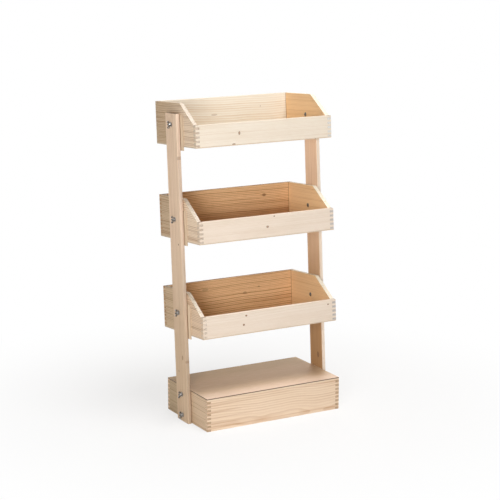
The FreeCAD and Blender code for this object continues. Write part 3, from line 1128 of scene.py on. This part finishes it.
@dataclass
class Washers:
    """The washers under the wing nuts."""

    radius: float = 9.0
    bore: float = 3.25
    thick: float = 1.55
    soft_edge: float = 0.35
    clearance: float = 0.02
    steps: int = 48

    def sizes(self) -> dict[str, float]:
        """The named sizes of the tree, in metres."""
        return {"Radius": self.radius * MM, "Bore": self.bore * MM, "Thickness": self.thick * MM}

    def tree(self) -> TreeBuilder:
        """Make a tree that puts a washer at every point.

        Returns:
            The tree.
        """
        tree = TreeBuilder("washers", self.sizes())
        outer, bore, thick = tree.entries("Radius", "Bore", "Thickness")
        width = tree.node("ShaderNodeMath", {"operation": "SUBTRACT"}, {0: outer, 1: bore})
        half = tree.node("ShaderNodeMath", {"operation": "MULTIPLY"}, {0: width.outputs[0], 1: 0.5})
        mean = tree.node("ShaderNodeMath", {"operation": "ADD"}, {0: bore, 1: half.outputs[0]})
        ring = tree.node("GeometryNodeCurvePrimitiveCircle", {"mode": "RADIUS"},
                         {"Resolution": self.steps, "Radius": mean.outputs[0]})
        section = tree.node("GeometryNodeCurvePrimitiveQuadrilateral", {"mode": "RECTANGLE"},
                            {"Width": width.outputs[0], "Height": thick})
        round_off = tree.node("GeometryNodeFilletCurve", {"mode": "POLY"},
                              {"Curve": section.outputs[0], "Count": 2,
                               "Radius": self.soft_edge * MM})
        washer = tree.node("GeometryNodeCurveToMesh", None,
                           {"Curve": ring.outputs[0], "Profile Curve": round_off.outputs[0]})
        placed = tree.node("GeometryNodeInstanceOnPoints", None,
                           {"Points": tree.entry.outputs["Geometry"],
                            "Instance": washer.outputs[0], "Rotation": (0.0, math.pi / 2, 0.0)})
        tree.end(placed.outputs[0])
        return tree

    def build(self, places: Iterable[Station], finish: bpy.types.Material) -> bpy.types.Object:
        """All washers as one piece of the stand.

        Args:
            places: The bolts that they lie on.
            finish: Their material.

        Returns:
            The piece.
        """
        points = bpy.data.meshes.new("washer_places")
        shift = -(self.thick / 2 + self.clearance)
        points.from_pydata([place.matrix(shift).translation for place in places], [], [])
        mesh = self.tree().run(points, "washers", {**self.sizes(), "Finish": finish})
        shade_smooth(mesh)
        return link(mesh, "washers")


@dataclass
class PanelPins:
    """Flat-headed pins that hold a ply panel to the edges of the boards."""

    spacing: float = 68.0
    head: float = 1.25
    proud: float = 0.22
    inset: float = BOARD_THICK / 2
    steps: int = 14

    def sizes(self, width: float = 0.0, depth: float = 0.0) -> dict[str, float]:
        """The named sizes of the tree.

        Args:
            width: Width of the rectangle of pins, in metres.
            depth: Its depth.

        Returns:
            The sizes, in metres.
        """
        return {"Width": width, "Depth": depth, "Spacing": self.spacing * MM,
                "Head": self.head * MM, "Proud": 2 * self.proud * MM}

    def tree(self) -> TreeBuilder:
        """Make a tree that walks round a rectangle and leaves a pin head at every step.

        Returns:
            The tree.
        """
        tree = TreeBuilder("panel_pins", self.sizes())
        width, depth, spacing, head, proud = tree.entries(*self.sizes())
        walk = tree.node("GeometryNodeCurvePrimitiveQuadrilateral", {"mode": "RECTANGLE"},
                         {"Width": width, "Height": depth})
        steps = tree.node("GeometryNodeCurveToPoints", {"mode": "LENGTH"},
                          {"Curve": walk.outputs[0], "Length": spacing})
        disc = tree.node("GeometryNodeMeshCylinder", None,
                         {"Vertices": self.steps, "Radius": head, "Depth": proud})
        placed = tree.node("GeometryNodeInstanceOnPoints", None,
                           {"Points": steps.outputs[0], "Instance": disc.outputs[0]})
        tree.end(placed.outputs[0])
        return tree

    def build(self, tree: TreeBuilder, panel: str, lie: Lie, face: Face,
              finish: bpy.types.Material) -> bpy.types.Object:
        """The pins of one panel.

        Args:
            tree: The tree of the pins.
            panel: Node of the panel.
            lie: How the panel lies.
            face: The face that the pins are in.
            finish: Their material.

        Returns:
            The piece.
        """
        vertices = [vertex.co - lie.middle for vertex in frame["nodes"][panel].data.vertices]
        width, depth = (2 * (max(corner.dot(way) for corner in vertices) - self.inset * MM)
                        for way in (lie.grain, lie.width))
        mesh = tree.run(bpy.data.meshes.new("pin_host"), f"{panel}_pins",
                        {**self.sizes(width, depth), "Finish": finish})
        lift = lie.depth * (face.value * PLY_THICK / 2 * MM)
        turn = Matrix((lie.grain, lie.width, lie.depth)).transposed().to_4x4()
        mesh.transform(Matrix.Translation(lie.middle + lift) @ turn)
        return link(mesh, f"{panel}_pins")


@dataclass
class Fittings:
    """Bolts, wing nuts, washers and pins."""

    steel: SteelFinish = field(default_factory=SteelFinish)
    # the bolts' darker zinc is painted shade and painted dark reflection, with a rougher plating
    painted_dark_zinc: SteelFinish = field(default_factory=lambda: SteelFinish(
        bright=(0.22, 0.215, 0.205), bloom=(0.10, 0.095, 0.085), roughness=0.34))
    nut: WingNut = field(default_factory=WingNut)
    bolt: CoachBolt = field(default_factory=CoachBolt)
    washers: Washers = field(default_factory=Washers)
    pins: PanelPins = field(default_factory=PanelPins)
    head_to_seat: float = BOARD_THICK + SPACER_THICK + POST_THICK + WASHER_ROOM

    def build(self, panels: dict[str, Lie]) -> list[bpy.types.Object]:
        """Make every fitting.

        Args:
            panels: How each pinned ply panel lies.

        Returns:
            The pieces.
        """
        finish = self.steel.material("zinc_plate")
        places = stations()
        made = self._nuts(places, finish) + self._bolts(places, self.painted_dark_zinc.material("dull_zinc"))
        washers = self.washers.build(places, finish)
        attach(washers, "stand")
        made.append(washers)
        tree = self.pins.tree()
        for panel, lie in panels.items():
            upper = panel == "base_lid"
            face = Face.UPPER if upper else Face.UNDER
            pins = self.pins.build(tree, panel, lie, face, finish)
            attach(pins, "stand" if upper else panel.removesuffix("_bottom"))
            made.append(pins)
        return made

    def _nuts(self, places: Sequence[Station],
              finish: bpy.types.Material) -> list[bpy.types.Object]:
        """Put a cast nut in place of each packed one.

        Args:
            places: The bolts.
            finish: Material of the nuts.

        Returns:
            The nuts.
        """
        pattern = self.nut.mesh()
        pattern.materials.clear()
        pattern.materials.append(finish)
        made = []
        for place in places:
            mesh = pattern.copy()
            mesh.transform(place.matrix(0.0, place.wing_turn()))
            piece = link(mesh, f"{place.nut}_cast")
            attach(piece, place.nut)
            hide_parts(place.nut)
            made.append(piece)
        return made

    def _bolts(self, places: Sequence[Station],
               finish: bpy.types.Material) -> list[bpy.types.Object]:
        """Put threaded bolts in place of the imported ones.

        Args:
            places: The bolts.
            finish: Their material.

        Returns:
            One piece for each box.
        """
        pattern = self.bolt.mesh()
        made = []
        for owner in ("stand", *TRAYS):
            group = "base" if owner == "stand" else owner
            work = bmesh.new()
            for place in places:
                if place.owner == owner:
                    copy = pattern.copy()
                    copy.transform(place.matrix(-self.head_to_seat))
                    work.from_mesh(copy)
            mesh = bpy.data.meshes.new(f"{group}_coach_bolts")
            work.to_mesh(mesh)
            work.free()
            mesh.materials.append(finish)
            shade_smooth(mesh, math.radians(30))
            piece = link(mesh, f"{group}_coach_bolts")
            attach(piece, owner)
            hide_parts(f"{group}_bolts")
            made.append(piece)
        return made


# Boxes and posts ---------------------------------------------------------------------

@dataclass
class Box:
    """What the plinth and the trays share: four boards round a ply panel."""

    name: str
    width: float = 600.0
    depth: float = 330.0
    front: float = 83.0
    back: float = 162.0
    seed: float = 1.0
    rear: Vector = field(default_factory=lambda: LEAN_REAR.copy())
    up: Vector = field(default_factory=lambda: LEAN_UP.copy())
    finishes: dict[str, PineFinish] = field(default_factory=dict)
    knots: dict[str, tuple[Knot, ...]] = field(default_factory=dict)
    ply: PlyFinish = field(default_factory=lambda: PlyFinish(
        face=(0.80, 0.66, 0.50), edge=(0.76, 0.63, 0.49), core=(0.60, 0.46, 0.33)))
    spacer_ply: PlyFinish = field(default_factory=lambda: PlyFinish(
        face=(0.84, 0.68, 0.49), edge=(0.72, 0.57, 0.42), core=(0.55, 0.40, 0.27)))
    panel: str = "bottom"

    def dress(self) -> None:
        """Finish every board and panel of the box."""
        for number, word in enumerate(("front", "back")):
            height = self.front if word == "front" else self.back
            combs = [Comb(end, self.width, height / 2, height, True, word == "back")
                     for end in (-1, 1)]
            self._pine(word, Lie(middle_of(f"{self.name}_{word}"), RIGHT, self.up, self.rear),
                       self.seed + number, combs)
        for side_name, side in SIDES.items():
            node = f"{self.name}_{side_name}_side"
            combs = [Comb(end, self.depth, self.back / 2, height, False)
                     for end, height in ((-1, self.front), (1, self.back))]
            middle = middle_of(node)
            self._pine(f"{side_name}_side", Lie(middle, self.rear, self.up, RIGHT * side),
                       self.seed + 4 + side, combs)
            spacer = f"{self.name}_{side_name}_spacer"
            lie = Lie(middle_of(spacer), LEAN_UP, LEAN_REAR, RIGHT)
            # the spacer gets a painted contact shadow beside the front of the post
            self.spacer_ply.dress(frame["nodes"][spacer], lie, self.seed + side,
                                  front_of(f"{side_name}_post", lie))
            LOG.info("dressed %s and %s", node, spacer)
        panel = f"{self.name}_{self.panel}"
        self.ply.dress(frame["nodes"][panel], self.panel_lie(), self.seed * 2)
        LOG.info("dressed %s", panel)

    def panel_lie(self) -> Lie:
        """How the ply panel of the box lies."""
        return Lie(middle_of(f"{self.name}_{self.panel}"), RIGHT, self.rear, self.up)

    def _pine(self, word: str, lie: Lie, seed: float, combs: Sequence[Comb]) -> None:
        """Finish one board.

        Args:
            word: Last part of the name of its node.
            lie: How it lies.
            seed: Makes its figure unlike that of other boards.
            combs: Its finger joints.
        """
        finish = self.finishes.get(word, PineFinish())
        node = frame["nodes"][f"{self.name}_{word}"]
        finish.dress(node, lie, seed, self.knots.get(word, ()), combs)


@dataclass
class Posts:
    """The two posts."""

    # Painted light and shade: the left post's front edge and foot are darker, the right post's
    # inner face and front edge lighter and its inner face darker towards the foot. The near-black
    # ends of both are darker end grain and also a painted shadow line at the post tops.
    left: PineFinish = field(default_factory=lambda: PineFinish(
        pale=(0.96, 0.735, 0.55), ring=(0.68, 0.45, 0.28), spacing=4.6, pith_across=-58.0,
        pith_deep=40.0, end_tint=(0.20, 0.16, 0.13), painted_edge_light_shade=(0.84, 0.88, 0.95),
        painted_shade_along=(0.74, 0.72, 0.66)))
    right: PineFinish = field(default_factory=lambda: PineFinish(
        pale=(0.90, 0.73, 0.56), ring=(0.67, 0.46, 0.29), spacing=4.6, pith_across=-58.0,
        pith_deep=40.0, end_tint=(0.20, 0.16, 0.13), painted_edge_light_shade=(1.03, 1.10, 1.21),
        painted_inner_light_shade=(1.17, 1.08, 1.04), painted_shade_along=(0.50, 0.40, 0.27), painted_shade_start=420.0,
        painted_shade_end=-330.0, painted_shade_inner_only=True))
    knots: dict[str, tuple[Knot, ...]] = field(default_factory=lambda: {
        "left": (Knot(434, -43, 4.5, 1.6, 0.4), Knot(99, -22, 2.6, 1.5),
                 Knot(-349, -18, 5.0, 1.8, 0.6), Knot(-362, -44, 3.0, 1.6, 0.4),
                 Knot(-408, 18, 3.0, 1.6, 0.7)),
        "right": (Knot(-423, -14, 7.0, 1.6), Knot(210, 20, 4.0, 1.5))})

    def dress(self) -> None:
        """Finish both posts."""
        for side_name, side in SIDES.items():
            node = f"{side_name}_post"
            lie = Lie(middle_of(node), LEAN_UP, LEAN_REAR, RIGHT * side)
            finish = self.left if side < 0 else self.right
            finish.dress(frame["nodes"][node], lie, 30.0 + side, self.knots[side_name])
            LOG.info("dressed %s", node)


# Studio ------------------------------------------------------------------------------

@dataclass(frozen=True)
class Lamp:
    """A soft square lamp aimed at the middle of the stand."""

    name: str
    place: Vector
    size: float
    watts: float
    colour: Colour = WHITE

    def build(self) -> None:
        """Add the lamp to the scene."""
        data = bpy.data.lights.new(self.name, "AREA")
        data.color = self.colour
        data.shape = "SQUARE"
        data.size = self.size
        data.energy = self.watts
        lamp = link(data, self.name)
        lamp.location = self.place
        aim = (CAD_BOX[0] + CAD_BOX[1]) / 2 - self.place
        lamp.rotation_euler = aim.to_track_quat("-Z", "Y").to_euler()


@dataclass
class Studio:
    """Floor, soft lights and camera."""

    focal_pixels: float = 1594.3
    frame_pixels: float = 500.0
    sensor: float = 36.0
    eye: Vector = field(default_factory=lambda: Vector((-3.05282, -5.36994, 2.00554)))
    azimuth: float = math.radians(29.678)
    elevation: float = math.radians(12.408)
    roll: float = math.radians(0.068)
    ambient: float = 0.15
    floor_size: float = 40.0
    shadow_start: float = 0.45
    shadow_end: float = 1.5
    clear_near: float = 0.7        # how far the floor is backdrop under the stand
    floor_paint: Colour = (0.86, 0.86, 0.86)
    sky: Colour = (1.0, 0.97, 0.92)
    lamps: tuple[Lamp, ...] = field(default_factory=lambda: (
        Lamp("key", Vector((-2.7, -3.0, 1.4)), 1.3, 83.0),
        Lamp("top", Vector((0.3, -1.15, 4.6)), 1.8, 145.0),
        Lamp("back", Vector((2.4, 2.8, 1.2)), 2.0, 50.0, (1.0, 0.93, 0.84))))

    def build(self) -> None:
        """Set the stage, the lights, the world and the camera."""
        self._camera()
        self._world()
        self._floor()
        for lamp in self.lamps:
            lamp.build()
        bpy.context.scene.view_settings.view_transform = "Standard"

    def _camera(self) -> None:
        """Add a camera that looks from the front left."""
        data = bpy.data.cameras.new("camera")
        data.sensor_width = self.sensor
        data.lens = self.focal_pixels / self.frame_pixels * self.sensor
        camera = link(data, "camera")
        ahead = Vector((math.sin(self.azimuth) * math.cos(self.elevation),
                        math.cos(self.azimuth) * math.cos(self.elevation),
                        -math.sin(self.elevation)))
        level = Vector((math.cos(self.azimuth), -math.sin(self.azimuth), 0.0))
        upward = level.cross(ahead)
        right = math.cos(self.roll) * level + math.sin(self.roll) * upward
        top = math.cos(self.roll) * upward - math.sin(self.roll) * level
        turn = Matrix((right, top, -ahead)).transposed().to_4x4()
        camera.matrix_world = Matrix.Translation(self.eye) @ turn
        bpy.context.scene.camera = camera

    @staticmethod
    def _seen(graph: Graph) -> Value:
        """Tell the rays that show the background from those that light the stand.

        Args:
            graph: Graph that gets the nodes.

        Returns:
            1 for rays from the camera, a gloss or a clear piece, and 0 for others.
        """
        path = graph.node("ShaderNodeLightPath")
        rays = [Value(graph, path.outputs[name])
                for name in ("Is Camera Ray", "Is Glossy Ray", "Is Transmission Ray")]
        return rays[0].most(rays[1]).most(rays[2])

    def _world(self) -> None:
        """Even light from all round; white where it is seen."""
        world = bpy.data.worlds.new("studio")
        bpy.context.scene.world = world
        graph = Graph(world)
        light = graph.node("ShaderNodeBackground", None,
                           {"Color": self.sky, "Strength": self.ambient})
        white = graph.node("ShaderNodeBackground", None, {"Color": WHITE, "Strength": 1.0})
        both = graph.node("ShaderNodeMixShader", None,
                          {0: self._seen(graph), 1: light.outputs[0], 2: white.outputs[0]})
        graph.finish(both.outputs[0], "ShaderNodeOutputWorld")

    def _floor(self) -> None:
        """A pale floor that runs into the white backdrop and keeps the shadow."""
        half = self.floor_size / 2

        def sheet(work: bmesh.types.BMesh) -> None:
            """Add one flat square.

            Args:
                work: Bmesh that gets it.
            """
            corners = [(-half, -half), (half, -half), (half, half), (-half, half)]
            work.faces.new([work.verts.new((*corner, 0.0)) for corner in corners])

        floor = link(mesh_of(sheet, "floor"), "floor")
        graph = Graph(bpy.data.materials.new("pale_floor"))
        texture = graph.node("ShaderNodeTexCoord")
        length = graph.vector("LENGTH", {0: texture.outputs["Object"]})
        distance = Value(graph, length.outputs["Value"])
        ramp = distance.step(self.shadow_start, self.shadow_end)
        clear = ramp * (1.0 - self.clear_near) + self.clear_near
        paint = graph.node("ShaderNodeBsdfDiffuse", None, {"Color": self.floor_paint})
        glow = graph.node("ShaderNodeEmission", None, {"Color": WHITE, "Strength": 1.0})
        both = graph.node("ShaderNodeMixShader", None,
                          {0: self._seen(graph) * clear, 1: paint.outputs[0], 2: glow.outputs[0]})
        graph.finish(both.outputs[0])
        floor.data.materials.append(graph.owner)


def make_trays() -> list[Box]:
    """Make the three trays, with the figure and the knots of their boards.

    Returns:
        The trays, from the lowest up.
    """
    # Painted light and shade in the tints below: the top tray's back lighter inside, the lower
    # backs warmer inside and darker towards the bottom, the left sides darker towards the rear, and
    # lit or shaded edges and inner faces.
    front = PineFinish(contrast=0.55, streaks=0.25, end_tint=(0.92, 0.87, 0.82))
    sunny = PineFinish(pale=(0.84, 0.72, 0.56), ring=(0.64, 0.44, 0.26), spacing=8.4,
                       pith_across=-60.0, pith_deep=44.0, wander=22.0, streaks=0.2,
                       painted_inner_light_shade=(1.01, 1.12, 1.27))
    brown = PineFinish(pale=(0.86, 0.68, 0.48), ring=(0.44, 0.255, 0.13), spacing=6.6,
                       pith_across=-92.0, pith_deep=34.0, wander=14.0, contrast=1.1,
                       streaks=0.35, fibre=1.0, end_tint=(1.15, 1.15, 1.15),
                       painted_edge_light_shade=(0.60, 0.48, 0.38), painted_inner_light_shade=(1.20, 1.06, 0.90),
                       painted_low_shade=(0.88, 0.85, 0.80))
    # the middle tray's back, with deeper painted shade towards the bottom of its inner face
    brown_deeper_painted_shade = replace(brown, painted_low_shade=(0.54, 0.39, 0.29))
    left = PineFinish(pale=(0.87, 0.67, 0.49), ring=(0.48, 0.305, 0.18), spacing=5.6,
                      pith_across=120.0, pith_deep=60.0, contrast=0.9, streaks=0.55, fibre=0.6,
                      end_tint=(0.96, 0.92, 0.90), painted_edge_light_shade=(0.98, 1.16, 1.38),
                      painted_inner_light_shade=(1.10, 1.02, 0.85), painted_shade_along=(0.80, 0.78, 0.70),
                      painted_shade_start=-120.0, painted_shade_end=110.0)
    right = PineFinish(pale=(0.72, 0.54, 0.37), ring=(0.55, 0.37, 0.21), spacing=5.2,
                       pith_across=-95.0, pith_deep=48.0, end_tint=(0.63, 0.63, 0.72),
                       painted_edge_light_shade=(1.25, 1.55, 1.90), painted_inner_light_shade=(1.31, 1.23, 1.06))
    fair_left = replace(left, pale=(0.97, 0.80, 0.62), ring=(0.58, 0.38, 0.24),
                        end_tint=(0.87, 0.81, 0.77), painted_edge_light_shade=(0.83, 0.92, 1.04),
                        painted_inner_light_shade=(0.93, 0.80, 0.63), painted_shade_along=(0.71, 0.65, 0.56))
    fair_right = replace(right, pale=(0.78, 0.59, 0.405), ring=(0.60, 0.40, 0.23))
    plain_right = replace(right, end_tint=(0.86, 0.92, 1.08))
    rosy = replace(front, pale=(0.83, 0.715, 0.61))
    words = ("front", "back", "left_side", "right_side")
    lower, middle, top = (dict(zip(words, boards)) for boards in (
        (rosy, brown, left, right), (rosy, brown_deeper_painted_shade, fair_left, fair_right),
        (front, sunny, fair_left, plain_right)))
    return [
        Box("lower_tray", seed=3.0, finishes=lower, knots={
            "front": (Knot(-110, 26, 3.6, 1.3), Knot(-122, -8.5, 3.8, 1.1),
                      Knot(264, 24.5, 3.0, 1.2)),
            "back": (Knot(-120, 44, 6.0, 2.4, 0.35), Knot(62, 12, 4.0, 2.0, 0.5),
                     Knot(128, 30, 3.0, 1.8, 0.5))}),
        Box("middle_tray", seed=13.0, finishes=middle, knots={
            "front": (Knot(29, 35, 2.4, 1.4), Knot(-2, -3.5, 4.4, 1.3, 0.8)),
            "back": (Knot(167, 38, 5.5, 1.5, 0.8),)}),
        Box("top_tray", seed=23.0, finishes=top, knots={
            "front": (Knot(-113, 1, 7.0, 0.65, 0.8), Knot(-138, -40.5, 3.6, 2.2, 0.9)),
            "back": (Knot(-50, 12, 4.2, 3.4, 0.35), Knot(163, 34, 2.2, 1.3, 0.6))})]


def make_plinth() -> Box:
    """Make the plinth, with the broad figure of its front.

    Returns:
        The plinth.
    """
    front = PineFinish(pale=(0.87, 0.69, 0.52), ring=(0.62, 0.40, 0.25), spacing=9.0,
                       pith_across=-48.0, pith_deep=30.0, wander=26.0, streaks=0.6,
                       end_tint=(0.90, 0.84, 0.78))
    # the plinth sides darken towards the rear as painted shade
    side = PineFinish(pale=(0.74, 0.56, 0.39), ring=(0.47, 0.31, 0.185), spacing=4.8,
                      pith_across=90.0, pith_deep=40.0, contrast=0.8,
                      end_tint=(0.78, 0.72, 0.68), painted_shade_along=(0.76, 0.76, 0.70),
                      painted_shade_start=-120.0, painted_shade_end=120.0)
    # The lid: painted sheen towards its front and painted shade towards its rear; its near-black
    # core is a dark core veneer and also painted shadow of the gap under its edge.
    lid = PlyFinish(face=(0.57, 0.40, 0.255), figure=(0.48, 0.32, 0.19),
                    edge=(0.42, 0.31, 0.23), core=(0.085, 0.05, 0.03),
                    painted_front_sheen=(1.25, 1.33, 1.60), painted_rear_shade=(0.92, 0.91, 0.80))
    return Box("base", depth=334.0, front=128.0, back=128.0, seed=43.0, rear=REAR, up=UP,
               finishes={"front": front, "back": front, "left_side": side, "right_side": side},
               ply=lid, panel="lid")


def main() -> None:
    """Build the looks of the stand."""
    logging.basicConfig(level=logging.INFO, format="%(name)s: %(message)s")
    Studio().build()
    boxes = [make_plinth(), *make_trays()]
    for box in boxes:
        box.dress()
    Posts().dress()
    panels = {f"{box.name}_{box.panel}": box.panel_lie() for box in boxes}
    for piece in Fittings().build(panels):
        LOG.info("made %s with %d faces", piece.name, len(piece.data.polygons))


if __name__ == "__main__":
    main()
